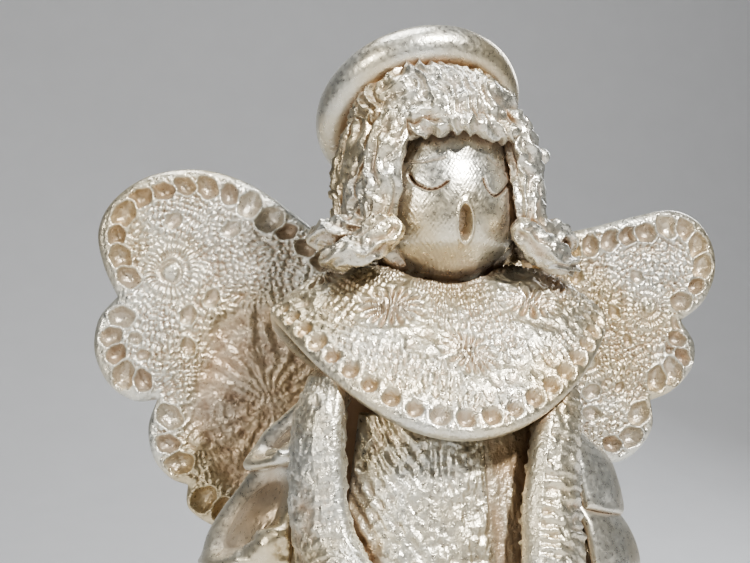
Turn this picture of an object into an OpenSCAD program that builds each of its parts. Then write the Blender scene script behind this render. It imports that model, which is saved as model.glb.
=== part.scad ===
// Standing angel figurine, built from separate slabs, rolls and pegs round a hollow cone.
// The figure faces -Y and stands on z = 0, with the middle of its base plate at the origin.

/* [Body] */
// Half width of the body at the floor
body_half_w = 54; // [50:1:58]
// Half depth of the body at the floor
body_half_d = 44; // [40:1:47]
// Thickness of the dress slabs
slab = 3.6; // [3:0.2:4.2]
// Wall of the hollow core
core_wall = 5; // [4:0.5:7]
// Thickness of the base plate
base_h = 5; // [4:0.5:7]

/* [Collar] */
// Half width of the collar
collar_half_w = 43; // [40:1:46]
// Thickness of the collar slab
collar_t = 4.2; // [3.4:0.2:4.6]

/* [Head] */
// Radius of the head
head_r = 17.3; // [16.5:0.1:17.8]
// Half height of the head
head_half_h = 21.5; // [20.5:0.1:22]
// Thickness of the hair cap
hair_t = 3.4; // [2.8:0.2:4]

/* [Halo] */
// Radius of the halo's centre line
halo_r = 21.3; // [20.8:0.1:22]
// Radius of the halo's roll
halo_roll = 5.8; // [5:0.1:6]

/* [Wings] */
// Thickness of the wings
wing_t = 5; // [4:0.2:6]
// Radius of the dimples pressed along the wing and collar edges
dimple_r = 2.1; // [1.6:0.1:2.4]

/* [Pegs] */
// Radius of the neck dowel
dowel_r = 2; // [1.5:0.1:2.5]
// Radius of the wing and halo pins
pin_r = 0.9; // [0.6:0.1:1.1]

/* [Hidden] */
$fn = 64;
tiers = 5;

pearl = [0.88, 0.80, 0.69];
pearl_shade = [0.80, 0.70, 0.58];
raw_resin = [0.93, 0.90, 0.84];
birch = [0.80, 0.66, 0.46];
wire = [0.72, 0.72, 0.74];

gap = 0.3;             // clearance between neighbouring slabs
body_y = -2;           // middle of the body, front to back
body_top = 150;        // where the shoulders start to close
body_taper = 0.19;     // loss of half width for each mm of height
depth_taper = 0.165;   // loss of half depth for each mm of height
head_at = [0.7, -1.5, 191];
head_turn = [-8, 0, 8];
halo_at = [-3, 8, 215.4];
halo_tilt = [-35.7, -8, 0];
halo_pin_at = [25, -25];
wing_root = [4, 31];
wing_pin_z = [122, 140];

// ---- shared shapes ----

function unit(v) = v / norm(v);
function mix(a, b, t) = a + (b - a) * t;
function smooth(t) = let (c = max(0, min(1, t))) c * c * (3 - 2 * c);
function half_w(z) = body_half_w - body_taper * z;
function half_d(z) = body_half_d - depth_taper * z;

// A point on the body at an angle from the front, grown outward by off
function on_body(z, angle, off = 0) =
    [(half_w(z) + off) * sin(angle), body_y - (half_d(z) + off) * cos(angle), z];

// Outward normal of the surface f(u, v) by central differences
function normal_of(f, u, v) =
    let (e = 0.004)
    unit(cross(f(u + e, v) - f(u - e, v), f(u, v + e) - f(u, v - e)));

// Closed slab between two offsets of the surface f(u, v), u and v from 0 to 1
module sheet(f, nu, nv, inner, outer, loop = false) {
    columns = loop ? nu : nu + 1;
    rows = nv + 1;
    uv = [for (i = [0:columns - 1], j = [0:nv]) [i / nu, j / nv]];
    skins = [for (off = [outer, inner], q = uv) f(q[0], q[1]) + off * normal_of(f, q[0], q[1])];
    function at(i, j, back) = back * columns * rows + (i % columns) * rows + j;
    faces = concat(
        [for (i = [0:nu - 1], j = [0:nv - 1], half = [0, 1])
            half ? [at(i, j, 0), at(i + 1, j + 1, 0), at(i + 1, j, 0)]
                 : [at(i, j, 0), at(i, j + 1, 0), at(i + 1, j + 1, 0)]],
        [for (i = [0:nu - 1], j = [0:nv - 1], half = [0, 1])
            half ? [at(i, j, 1), at(i + 1, j, 1), at(i + 1, j + 1, 1)]
                 : [at(i, j, 1), at(i + 1, j + 1, 1), at(i, j + 1, 1)]],
        [for (i = [0:nu - 1], half = [0, 1])
            half ? [at(i, 0, 0), at(i + 1, 0, 0), at(i + 1, 0, 1)]
                 : [at(i, 0, 0), at(i + 1, 0, 1), at(i, 0, 1)]],
        [for (i = [0:nu - 1], half = [0, 1])
            half ? [at(i, nv, 0), at(i + 1, nv, 1), at(i + 1, nv, 0)]
                 : [at(i, nv, 0), at(i, nv, 1), at(i + 1, nv, 1)]],
        loop ? [] : [for (j = [0:nv - 1], half = [0, 1])
            half ? [at(0, j, 0), at(0, j + 1, 1), at(0, j + 1, 0)]
                 : [at(0, j, 0), at(0, j, 1), at(0, j + 1, 1)]],
        loop ? [] : [for (j = [0:nv - 1], half = [0, 1])
            half ? [at(nu, j, 0), at(nu, j + 1, 0), at(nu, j + 1, 1)]
                 : [at(nu, j, 0), at(nu, j + 1, 1), at(nu, j, 1)]]);
    polyhedron(points = skins, faces = faces);
}

// Closed solid through a list of rings, each with the same count of points
module loft(rings) {
    n = len(rings[0]);
    last = len(rings) - 1;
    middle = function (ring) [for (k = [0:2]) [for (p = ring) p[k]] * [for (p = ring) 1] / len(ring)];
    points = concat([for (ring = rings) each ring], [middle(rings[0]), middle(rings[last])]);
    faces = concat(
        [for (r = [0:last - 1], i = [0:n - 1], half = [0, 1])
            let (a = r * n + i, b = r * n + (i + 1) % n)
            half ? [a, b + n, a + n] : [a, b, b + n]],
        [for (i = [0:n - 1]) [n * (last + 1), (i + 1) % n, i]],
        [for (i = [0:n - 1]) [n * (last + 1) + 1, last * n + i, last * n + (i + 1) % n]]);
    polyhedron(points = points, faces = faces);
}

// A point at t from 0 to 1 on a smooth curve through the points
function spline(points, t) =
    let (
        last = len(points) - 1,
        k = min(last - 1, floor(t * last)),
        s = t * last - k,
        p0 = points[max(0, k - 1)],
        p1 = points[k],
        p2 = points[k + 1],
        p3 = points[min(last, k + 2)])
    0.5 * (2 * p1 + (p2 - p0) * s + (2 * p0 - 5 * p1 + 4 * p2 - p3) * s * s
        + (3 * p1 - p0 - 3 * p2 + p3) * s * s * s);

// A roll along the points: wide and thick give its half sizes at t, out points away from the body
module roll(points, wide, thick, out, steps = 10, sides = 8) {
    rings = [for (k = [0:steps])
        let (
            t = k / steps,
            p = spline(points, t),
            along = unit(spline(points, min(1, t + 0.01)) - spline(points, max(0, t - 0.01))),
            across = unit(cross(along, out(p))),
            outward = cross(across, along))
        [for (i = [0:sides - 1])
            p + across * wide(t) * cos(360 * i / sides) + outward * thick(t) * sin(360 * i / sides)]];
    loft(rings);
}

// ---- body ----

module base_plate() {
    color(pearl_shade) linear_extrude(base_h)
        polygon([for (i = [0:71]) let (p = on_body(0, 5 * i)) [p[0], p[1]]]);
}

function body_ring(z, grow, off, n = 36) =
    [for (i = [0:n - 1])
        let (p = on_body(min(z, body_top), -360 * i / n, off))
        [p[0] * grow, mix(body_y, p[1], grow), z]];

module body_core() {
    shoulders = [[body_top, 1], [157, 0.9], [163, 0.66], [166, 0.4]];
    sides = [for (z = [base_h, 50, 100]) [z, 1]];
    color(raw_resin) difference() {
        loft([for (s = concat(sides, shoulders)) body_ring(s[0], s[1], 0)]);
        loft([for (s = [[base_h - 1, 1], [60, 1], [120, 1], [body_top - core_wall, 0.85]])
            body_ring(s[0], s[1], -core_wall)]);
        translate([0, 0, 100]) cylinder(r = dowel_r + 0.05, h = 80);
    }
}

// A slab that hangs from z_top to z_low round the angle middle, wider below the sleeves than between them,
// and lying further out below tuck_z to clear what it covers
function panel_at(u, v, middle, spread, z_top, z_low, tuck_z) =
    let (
        z = mix(z_top, z_low, v),
        half = mix(spread[0], spread[1], smooth((112 - z) / 24)))
    on_body(z, middle + mix(half, -half, u), (slab + gap) * smooth((tuck_z + 14 - z) / 14));

hem_top = 26;
pleats = 26;
function hem_at(u, v) =
    let (z = mix(hem_top, 0.6, v))
    on_body(z, -360 * u, 1 + 2 * v + 2.2 * v * (1 - cos(360 * pleats * u)) / 2);

module hem_ruffle() {
    color(pearl) sheet(function (u, v) hem_at(u, v), 4 * pleats, 3, 0, slab * 0.7, loop = true);
}

module front_panel() {
    color(pearl) sheet(function (u, v) panel_at(u, v, 0, [50, 66], 138, 15, hem_top), 24, 12, gap, gap + slab);
}

module back_panel() {
    color(pearl) sheet(function (u, v) panel_at(u, v, 180, [47, 50], 146, 15, hem_top), 24, 12, gap, gap + slab);
}

// ---- side swags: five overlapping folds down each side ----

swag_top = [[143, 128, 107, 84, 60], [137, 121, 106, 84, 59]];
swag_low = [[126, 103, 79, 55, 30], [115, 101, 79, 54, 29]];
swag_bulge = [[12, 18, 18, 15, 11], [7, 8, 9, 9, 8.5]];
// How much of its bulge each left fold starts with, and where each fold's front end is, in degrees from the front
swag_start = [0, 0.55, 0.8, 0.8, 0.8];
swag_front = [[72, 72, 72, 72, 72], [53, 51, 66, 72, 72]];

function swag_at(u, v, side, k) =
    let (
        z = mix(swag_top[side][k], swag_low[side][k] - 3 * sin(180 * u), v),
        turn = side ? 1 : -1,
        hang = side ? sin(115 * max(0, v)) : mix(swag_start[k], 1, pow(max(0, v), 0.85)),
        belly = swag_bulge[side][k] * pow(sin(180 * u), 0.7) * hang)
    on_body(z, turn * mix(128, swag_front[side][k], side ? 1 - u : u), gap + (slab + gap) * smooth(v * 1.6) + belly);

module swag(side, k) {
    color(pearl)
        sheet(function (u, v) swag_at(mix(0.012, 0.988, u), v, side, k), 14, 8, 0, slab * 0.85);
}

// ---- sleeves and hands ----

function away_from_axis(p) = unit([p[0], p[1] + 2, 0]);

// The arms come down a little turned to the figure's right, so the two paths differ
arm_left = [on_body(158, -66, 3.5), on_body(147, -58, 8), [-33, -22, 137], [-34, -24, 121], [-31.8, -27, 106],
            [-26, -37, 95.5], [-17.5, -46, 89], [-11, -52, 86]];
arm_right = [on_body(158, 66, 3.5), [24, -21, 146], [20.8, -28.5, 133], [18.6, -32.3, 121], [17.2, -35.5, 108],
             [15.5, -42, 97], [13, -48, 90.5], [11, -52, 86]];

module sleeve(side) {
    color(pearl) difference() {
        roll(side < 0 ? arm_left : arm_right,
            function (t) mix(6, 8.4, smooth(t * 1.6)), function (t) mix(4.2, 6.4, t),
            function (p) away_from_axis(p), steps = 18, sides = 12);
        translate([side * 8.6, -53.5, 84.8]) sphere(r = 5.8);
    }
}

module hand(side) {
    wrist = [side * 8.2, -53.6, 85.2];
    palm = [side * 3.9, -56.5, 90];
    tip = [side * 2.4, -58, 101];
    color(pearl) intersection() {
        union() {
            hull() {
                translate(wrist) sphere(r = 3.4, $fn = 24);
                translate(palm) sphere(r = 3.7, $fn = 24);
            }
            hull() {
                translate(palm) sphere(r = 3.7, $fn = 24);
                translate(tip) sphere(r = 2.1, $fn = 24);
            }
        }
        translate([side > 0 ? 0.05 : -30.05, -80, 60]) cube([30, 60, 60]);
    }
}

// ---- neck, collar and head ----

module neck() {
    color(pearl) difference() {
        translate([0, 0, 166.2]) cylinder(r1 = 8.5, r2 = 7.6, h = 6.4);
        translate([0, 0, 160]) cylinder(r = dowel_r + 0.05, h = 20);
    }
}

module neck_dowel() {
    color(birch) translate([0, 0, 148]) cylinder(r = dowel_r, h = 40);
}

// The collar: u goes round from the back, v from the neck to the edge
function collar_at(u, v) =
    let (
        angle = 180 - 360 * u,
        ahead = max(0, cos(angle)),
        behind = max(0, -cos(angle)),
        reach = cos(angle) > 0 ? 40 : 33,
        z_neck = 172.5 - 2.2 * pow(ahead, 2),
        z_edge = 162 - 29 * pow(max(0, cos(angle + 4.5)), 2) - 19 * pow(behind, 1.6),
        x = mix(12.5, collar_half_w, v) * sin(angle),
        y = -mix(11, reach, v) * cos(angle),
        shoulder = 3.2 * sin(180 * v) * abs(sin(angle)))
    [x, y, mix(z_neck, z_edge, pow(max(0, v), mix(1.8, 1.25, max(ahead, behind)))) + shoulder];

module collar() {
    dimples = 40;
    color(pearl) difference() {
        sheet(function (u, v) collar_at(u, v), 48, 7, -collar_t, 0, loop = true);
        for (i = [0:dimples - 1]) {
            u = (i + 0.5) / dimples;
            translate(collar_at(u, 0.9) + normal_of(function (a, b) collar_at(a, b), u, 0.9) * 0.6)
                sphere(r = dimple_r, $fn = 12);
        }
    }
}

// Rounder at the crown than at the jaw, which is fuller
function egg_r(phi, off) =
    (head_r + off) * pow(max(0, cos(phi)), phi < 0 ? 0.85 : 1) * (1 - 0.05 * sin(phi));

module egg(off = 0) {
    rotate_extrude() polygon(concat(
        [for (phi = [-90:10:90]) [max(0, egg_r(phi, off)), (head_half_h + off) * sin(phi)]]));
}

module on_head() {
    translate(head_at) rotate(head_turn) children();
}

module mouth_pocket() {
    translate([-0.9, -20, -9.9]) rotate([-90, 0, 0]) {
        for (z = [-2, 2]) translate([0, z, 0]) cylinder(r = 1.5, h = 6);
        translate([-1.5, -2, 0]) cube([3, 4, 6]);
    }
}

// Closed eyes: a shallow groove that sags like a smile, and a straight groove above it for the brow
module eye(x, z, brow_turn) {
    translate([x, -head_r + 1.2, z + 3.4]) rotate([90, 0, 0]) rotate([0, 0, 215])
        rotate_extrude(angle = 110) translate([5.2, 0]) square([0.7, 4]);
    translate([x, -head_r + 1.2, z + 5.6]) rotate([90, brow_turn, 0]) translate([-4.4, 0, 0]) cube([8.8, 0.7, 4]);
}

module head() {
    color(pearl) difference() {
        on_head() egg();
        on_head() mouth_pocket();
        on_head() eye(-8.6, -1.2, 0);
        on_head() eye(7, -1.8, 0);
        translate([0, 0, 160]) cylinder(r = dowel_r + 0.05, h = 29);
        translate([0, 0, 160]) cylinder(r = 12, h = 12.8);
    }
}

module halo_ring(grow = 0) {
    translate(halo_at) rotate(halo_tilt) rotate_extrude() translate([halo_r, 0]) circle(r = halo_roll + grow);
}

module hair_cap() {
    color(pearl) difference() {
        on_head() egg(hair_t);
        on_head() egg(0.1);
        on_head() translate([-15.4, -40, -40]) cube([30.8, 41, 51]);
        translate([-40, -40, 140]) cube([80, 80, 35]);
        halo_ring(0.1);
        halo_pin_holes(0.05);
    }
}

module halo() {
    color(pearl) difference() {
        halo_ring();
        halo_pin_holes(0.05);
    }
}

module halo_pin_holes(grow) {
    translate(halo_at) rotate(halo_tilt) for (turn = halo_pin_at)
        rotate([0, 0, 90 + turn]) translate([halo_r - halo_roll - 1, 0, -4]) rotate([0, 65, 0])
            cylinder(r = pin_r + grow, h = 10, center = true, $fn = 24);
}

module halo_pins() {
    color(wire) halo_pin_holes(0);
}

// ---- hair ----

// A point round the head at an angle from the front, a radius out and a height
function round_head(angle, r, z) = [head_at[0] + r * sin(angle), head_at[1] - r * cos(angle), z];

function from_head(p) = unit([p[0] - head_at[0], p[1] - head_at[1], 0.6 * (p[2] - head_at[2])]);

module lock(angle, points, fat) {
    roll([for (q = points) round_head(angle + q[2], q[0], q[1])],
        function (t) fat * (0.5 + 0.6 * sin(20 + 150 * t)), function (t) fat * 0.72 * (0.5 + 0.6 * sin(20 + 150 * t)),
        function (p) from_head(p), steps = 8, sides = 6);
}

module side_locks(turn, lean) {
    color(pearl) difference() {
        union() {
            for (i = [0:4])
                lock(turn * (50 + 17 * i), [[17.8 - lean, 212, 0], [21.6 - lean, 206, turn * 2],
                    [23.6 - lean, 195, turn * 4], [24.8 - lean, 184, turn * 2], [28 - 0.6 * lean, 177.5, turn * 6]], 3.6);
            shoulder_lock(turn);
        }
        halo_ring(0.15);
        on_head() egg(hair_t + 0.1);
        crown_dome(0.1);
    }
}

// The lock that spreads out over the shoulder
module shoulder_lock(turn) {
    roll([[turn * 18.5, -14, 183.5], [turn * 25.5, -10, 182], [turn * 33.5, -5.5, 179.5]],
        function (t) 4.4 * sin(35 + 120 * t), function (t) 3.4 * sin(35 + 120 * t),
        function (p) [0, 0, 1], steps = 8, sides = 8);
    roll([[turn * 14.5, -20.5, 183], [turn * 19.5, -19.5, 178.5], [turn * 25, -17.5, 176], [turn * 31, -12, 175]],
        function (t) 4.9 * sin(35 + 120 * t), function (t) 3.4 * sin(35 + 120 * t),
        function (p) [0, -0.45, 0.9], steps = 9, sides = 8);
}

module locks_left() { side_locks(-1, 0); }

module locks_right() { side_locks(1, 2); }

module locks_back() {
    color(pearl) difference() {
        for (i = [0:5])
            lock(142 + 15.2 * i, [[20.8, 191, 0], [23.4, 187, 3], [23.4, 180, -3], [25, 175.8, 2]], 3.2);
        halo_ring(0.15);
        on_head() egg(hair_t + 0.1);
    }
}

crown_at = [-1.6, -2.6];
crown_r = 21;
crown_top = 223.4;

// The crown's crumpled dome, lower at the brow than at the back
module crown_dome(grow = 0) {
    loft([for (k = [0:7])
        [for (i = [0:35])
            let (
                a = -10 * i,
                rise = 90 * min(0.97, k / 7),
                crumple = 1 + 0.025 * sin(7 * a) + 0.02 * cos(11 * a + 140 * k),
                r = (crown_r * crumple) * pow(cos(rise), 0.62) + grow,
                low = 209.5 - 2 * cos(a) - grow)
            [crown_at[0] + r * sin(a), crown_at[1] - r * cos(a), mix(low, crown_top + grow, sin(rise))]]]);
}

module hair_crown() {
    color(pearl) difference() {
        crown_dome();
        on_head() egg(hair_t + 0.1);
        halo_ring(0.1);
    }
}

module fringe() {
    color(pearl) difference() {
        roll([for (a = [-54:12:54]) round_head(a, 20.4 + 0.6 * cos(a * 9), 206 + 0.8 * cos(a * 5))],
            function (t) 2.5 * (0.5 + 0.5 * sin(20 + 140 * t)), function (t) 2.2 * (0.6 + 0.4 * sin(20 + 140 * t)),
            function (p) from_head(p), steps = 20, sides = 8);
        on_head() egg(hair_t + 0.1);
        crown_dome(0.1);
    }
}

module temple_curl() {
    color(pearl) translate(round_head(70, 25.2, 201.5)) sphere(r = 2.2, $fn = 24);
}

// ---- wings ----

// Each outline is a loop of corners in the wing's plane: distance out from the root, height, and how
// far the edge swells on the way to the next corner
left_wing = [[0, 168.5, 0.5], [27.7, 191.9, 1], [55.4, 205.4, 2.2], [81.5, 191.9, 5], [77.7, 169.1, 10.6],
             [65.8, 140.5, 6], [57.2, 117.8, 6.5], [30.8, 101, 2], [0, 108, 0]];
right_wing = [[0, 166, 0.5], [40, 187.3, 0.8], [84, 197, 9.6], [81.5, 164, 8.8], [70.5, 140.4, 7],
              [53.2, 123, 6], [30, 103, 2], [0, 108, 0]];
left_sweep = 12;
right_sweep = 7;

// Points along one swelling edge, without its end
function swell(a, b, n = 10) =
    let (along = [b[0] - a[0], b[1] - a[1]], out = unit([along[1], -along[0]]))
    [for (k = [0:n - 1])
        let (t = k / n)
        [a[0], a[1]] + along * t - out * a[2] * (1 - pow(abs(2 * t - 1), 2.6))];

function outline(corners) =
    [for (k = [0:len(corners) - 1]) each swell(corners[k], corners[(k + 1) % len(corners)])];

module wing_dimples(corners) {
    inset = 4.4;
    for (k = [1:len(corners) - 3]) {
        a = corners[k];
        b = corners[k + 1];
        along = [b[0] - a[0], b[1] - a[1]];
        n = round((norm(along) + 1.1 * a[2]) / (2.35 * dimple_r));
        out = unit([-along[1], along[0]]);
        for (i = [0:n - 1]) {
            t = (i + 0.5) / n;
            p = [a[0], a[1]] + along * t + out * (a[2] * (1 - pow(abs(2 * t - 1), 2.6)) - inset);
            translate([p[0], p[1], wing_t + 0.8]) sphere(r = dimple_r, $fn = 24);
        }
    }
}

// Stands a flat wing up at the back, with its front face forward
module on_back(side, sweep) {
    translate([side * wing_root[0], wing_root[1] + wing_t, 0]) rotate([0, 0, side * sweep]) rotate([90, 0, 0])
        children();
}

module wing(side, sweep, corners) {
    color(pearl) difference() {
        on_back(side, sweep) difference() {
            linear_extrude(wing_t) polygon([for (p = outline(corners)) [side * p[0], p[1]]]);
            if (side > 0) wing_dimples(corners);
            else mirror([1, 0, 0]) wing_dimples(corners);
        }
        wing_pin_set(0.05);
    }
}

module wing_pad() {
    color(pearl_shade) difference() {
        hull() for (x = [-14, 14], z = [116, 146]) translate([x, 20, z]) rotate([-90, 0, 0])
            cylinder(r = 5, h = wing_root[1] - 20.2, $fn = 32);
        back_block();
        wing_pin_set(0.05);
    }
}

// What the pad rests against: the body with the back panel on it
module back_block() {
    loft([for (z = [90, 120, 150, 170]) [for (i = [0:35]) on_body(z, -10 * i, gap + slab + 0.2)]]);
}

module wing_pin_set(grow) {
    for (side = [-1, 1], z = wing_pin_z) translate([side * 11, 25, z]) rotate([-90, 0, 0])
        cylinder(r = pin_r + grow, h = wing_root[1] + 3.4 - 25, $fn = 24);
}

module wing_pins() { color(wire) wing_pin_set(0); }

// ---- every node ----

base_plate();
body_core();
hem_ruffle();
front_panel();
back_panel();
for (k = [0:tiers - 1]) {
    swag(0, k);
    swag(1, k);
}
sleeve(-1);  // sleeve_left
sleeve(1);  // sleeve_right
hand(-1);  // hand_left
hand(1);  // hand_right
neck();
neck_dowel();
collar();
head();
hair_cap();
hair_crown();
fringe();
locks_left();
locks_right();
locks_back();
temple_curl();
halo();
halo_pins();
wing(-1, left_sweep, left_wing);  // wing_left
wing(1, right_sweep, right_wing);  // wing_right
wing_pad();
wing_pins();
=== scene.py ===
import math

import bpy
import numpy as np
from mathutils import Matrix, Vector
from mathutils.geometry import delaunay_2d_cdt


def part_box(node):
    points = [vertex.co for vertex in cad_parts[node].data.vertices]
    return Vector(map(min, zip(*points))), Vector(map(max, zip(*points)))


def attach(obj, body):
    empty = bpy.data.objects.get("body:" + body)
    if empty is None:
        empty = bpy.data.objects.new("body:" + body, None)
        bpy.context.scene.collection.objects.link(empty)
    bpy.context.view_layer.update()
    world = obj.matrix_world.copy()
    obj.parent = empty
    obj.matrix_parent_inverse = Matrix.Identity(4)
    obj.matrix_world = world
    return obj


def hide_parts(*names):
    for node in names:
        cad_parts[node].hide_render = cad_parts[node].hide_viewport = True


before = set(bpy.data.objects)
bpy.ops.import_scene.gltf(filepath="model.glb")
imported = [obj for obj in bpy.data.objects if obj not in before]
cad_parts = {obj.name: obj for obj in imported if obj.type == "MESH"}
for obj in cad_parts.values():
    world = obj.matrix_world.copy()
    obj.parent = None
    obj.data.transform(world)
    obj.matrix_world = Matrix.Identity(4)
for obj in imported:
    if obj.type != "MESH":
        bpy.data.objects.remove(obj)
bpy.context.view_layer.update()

# Lengths in this script are millimetres until a mesh is made; the frame is in metres.
MM = 0.001
UP = np.array([0.0, 0.0, 1.0])


# ---------------- numbers and noise


def table(u, v):
    return np.meshgrid(u, v, indexing="ij")


def mix(a, b, t):
    return a + (b - a) * t


def smooth(t):
    t = np.clip(t, 0.0, 1.0)
    return t * t * (3 - 2 * t)


def unit(v):
    return v / np.maximum(np.linalg.norm(v, axis=-1, keepdims=True), 1e-9)


def circle(count):
    """Angles spaced evenly round a full turn."""
    return np.linspace(0, 2 * math.pi, count, endpoint=False)


def rotation(axis, degrees):
    return np.array(Matrix.Rotation(math.radians(degrees), 3, axis))


def run_along(line):
    """Distance along a line from its first point to each point."""
    steps = np.linalg.norm(np.diff(line, axis=0), axis=1)
    return np.concatenate([[0], np.cumsum(steps)])


def hashed(cells, seed):
    """A repeatable number from 0 to 1 for each row of whole numbers."""
    h = np.full(cells.shape[:-1], seed * 1274126177, np.int64)
    for k, prime in zip(range(cells.shape[-1]), (374761393, 668265263, 2147483647)):
        h = (h + cells[..., k] * prime) & 0xFFFFFFFF
        h = ((h ^ (h >> 13)) * 1103515245) & 0xFFFFFFFF
    return ((h ^ (h >> 16)) & 0xFFFF) / 65535.0


def noise(points, size, seed=1):
    """Smooth noise from -1 to 1 whose features are size mm apart."""
    q = points / size
    whole = np.floor(q).astype(np.int64)
    part = q - whole
    part = part * part * (3 - 2 * part)
    dims = q.shape[-1]
    total = np.zeros(q.shape[:-1])
    for corner in np.ndindex(*(2,) * dims):
        c = np.array(corner)
        weight = np.prod(np.where(c == 1, part, 1 - part), axis=-1)
        total += weight * hashed(whole + c, seed)
    return 2 * total - 1


def scattered(cells, seed, count):
    """A few repeatable numbers from 0 to 1 for each row of whole numbers."""
    h = (hashed(cells, seed) * 65535).astype(np.int64) * 40503 + seed
    values = []
    for _ in range(count):
        h = (h * 1664525 + 1013904223) & 0xFFFFFFFF
        values.append(((h >> 14) & 0xFFFF) / 65535.0)
    return values


def cells(points, size, seed, jitter=0.8):
    """Distances in cell widths to the two nearest scattered centres, and a number for the nearest."""
    q = points / size
    whole = np.floor(q).astype(np.int64)
    dims = q.shape[-1]
    first = np.full(q.shape[:-1], 9.0)
    second = first.copy()
    mark = np.zeros(q.shape[:-1])
    for corner in np.ndindex(*(3,) * dims):
        cell = whole + np.array(corner) - 1
        numbers = scattered(cell, seed, dims + 1)
        centre = cell + 0.5 + jitter * (np.stack(numbers[:dims], -1) - 0.5)
        d = np.linalg.norm(q - centre, axis=-1)
        closer = d < first
        second = np.where(closer, first, np.minimum(second, d))
        mark = np.where(closer, numbers[dims], mark)
        first = np.where(closer, d, first)
    return first, second, mark


def crumple(points, size, seed):
    """Crumpled sheet: slanting pockets that meet in sharp crests, from about -1 to 1."""
    total = np.zeros(points.shape[:-1])
    bent = points + 0.3 * size * np.stack([noise(points, size, seed + k) for k in (20, 21, 22)], -1)
    for k, weight in ((0, 1.0), (1, 0.3)):
        q = bent / (size * 0.42**k)
        whole = np.floor(q).astype(np.int64)
        best = np.full(q.shape[:-1], 9.0)
        for corner in np.ndindex(3, 3, 3):
            cell = whole + np.array(corner) - 1
            n = scattered(cell, seed + 31 * k, 7)
            away = q - cell - np.stack(n[:3], -1)
            slope = 2 * np.stack(n[3:6], -1) - 1
            best = np.minimum(best, 1.15 * (away**2).sum(-1) + 0.95 * (slope * away).sum(-1) + 0.45 * n[6])
        total += weight * (2.0 * best - 0.55)
    return np.clip(total, -1.4, 1.6)


def stitches(u, v, seed, jitter=0.45):
    """Rounded bumps parted by narrow grooves, as thread leaves in clay: height from about -0.6 to 0.4."""
    first, second, mark = cells(np.stack([u, v], -1), 1.0, seed, jitter)
    groove = np.exp(-(((second - first) / 0.24) ** 2))
    return (0.3 + 0.25 * mark) * (1 - first**2 * 1.4) - 0.75 * groove + 0.1


def spline(points, t):
    """Catmull-Rom curve through the rows of points at t from 0 to 1."""
    points = np.asarray(points, float)
    last = len(points) - 1
    x = np.clip(np.asarray(t, float), 0, 1) * last
    k = np.minimum(x.astype(int), last - 1)
    s = (x - k)[..., None]
    p0, p1, p2, p3 = (points[np.clip(k + i, 0, last)] for i in (-1, 0, 1, 2))
    return 0.5 * (2 * p1 + (p2 - p0) * s + (2 * p0 - 5 * p1 + 4 * p2 - p3) * s**2
                  + (3 * p1 - p0 - 3 * p2 + p3) * s**3)


def spaced(length, pitch, edge):
    """Values from 0 to 1 spaced by pitch mm, closer at both ends where an edge is rounded."""
    near = edge * (1 - np.cos(np.radians([0, 18, 36, 54, 72])))
    inner = np.linspace(edge, length - edge, max(2, int(round((length - 2 * edge) / pitch)) + 1))
    return np.concatenate([near, inner, length - near[::-1]]) / length


# ---------------- meshes


def new_object(name, data):
    made = bpy.data.objects.new(name, data)
    bpy.context.collection.objects.link(made)
    return made


def signed_volume(points, groups):
    """Six times the enclosed volume, negative when the faces are wound inside out."""
    total = 0.0
    for group in groups:
        p = points[group[:, 0]]
        for k in range(1, group.shape[1] - 1):
            total += (p * np.cross(points[group[:, k]], points[group[:, k + 1]])).sum()
    return total


def make_piece(name, points, faces, hollow=None):
    """A smooth-shaded mesh object from points in mm; hollow, from 0 to 1, is how much painted shade each one
    gets.
    """
    mesh = bpy.data.meshes.new(name)
    points = np.asarray(points, float).reshape(-1, 3) * MM
    groups = [np.asarray(f, int) for f in faces]
    loops = np.concatenate([g.ravel() for g in groups])
    sizes = np.concatenate([np.full(len(g), g.shape[1]) for g in groups])
    mesh.vertices.add(len(points))
    mesh.vertices.foreach_set("co", points.astype(np.float32).ravel())
    mesh.loops.add(len(loops))
    mesh.loops.foreach_set("vertex_index", loops.astype(np.int32))
    mesh.polygons.add(len(sizes))
    starts = np.concatenate([[0], np.cumsum(sizes)[:-1]])
    mesh.polygons.foreach_set("loop_start", starts.astype(np.int32))
    mesh.update(calc_edges=True)
    if signed_volume(points, groups) < 0:
        mesh.flip_normals()
    mesh.validate()
    mesh.shade_smooth()
    depth = np.zeros(len(points)) if hollow is None else np.clip(np.ravel(hollow), 0, 1)
    mesh.attributes.new("hollow", "FLOAT", "POINT").data.foreach_set("value", depth.astype(np.float32))
    return new_object(name, mesh)


def grid_normals(grid, loop_u=False):
    if loop_u:
        du = np.roll(grid, -1, 0) - np.roll(grid, 1, 0)
    else:
        du = np.gradient(grid, axis=0)
    dv = np.gradient(grid, axis=1)
    return unit(np.cross(du, dv))


def grid_faces(ids, loop_u=False):
    """Quads over a table of vertex numbers, wound so that cross(u, v) points out."""
    nxt = np.roll(ids, -1, 0) if loop_u else ids[1:]
    cur = ids if loop_u else ids[:-1]
    return np.stack([cur[:, :-1], nxt[:, :-1], nxt[:, 1:], cur[:, 1:]], -1).reshape(-1, 4)


def edge_distance(grid, loop_u=False):
    """Distance in mm along the grid lines to the nearest border."""
    step = np.linalg.norm(np.diff(grid, axis=1), axis=-1)
    along = np.concatenate([np.zeros((len(grid), 1)), np.cumsum(step, 1)], 1)
    d = np.minimum(along, along[:, -1:] - along)
    if not loop_u:
        step = np.linalg.norm(np.diff(grid, axis=0), axis=-1)
        along = np.concatenate([np.zeros((1, grid.shape[1])), np.cumsum(step, 0)], 0)
        d = np.minimum(d, np.minimum(along, along[-1:] - along))
    return d


def rounded(d, radius):
    """Height of a rounded edge, from 0 at the border to 1 at radius mm inside it."""
    return np.sqrt(np.clip(1 - (1 - np.clip(d / radius, 0, 1)) ** 2, 0, 1))


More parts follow.
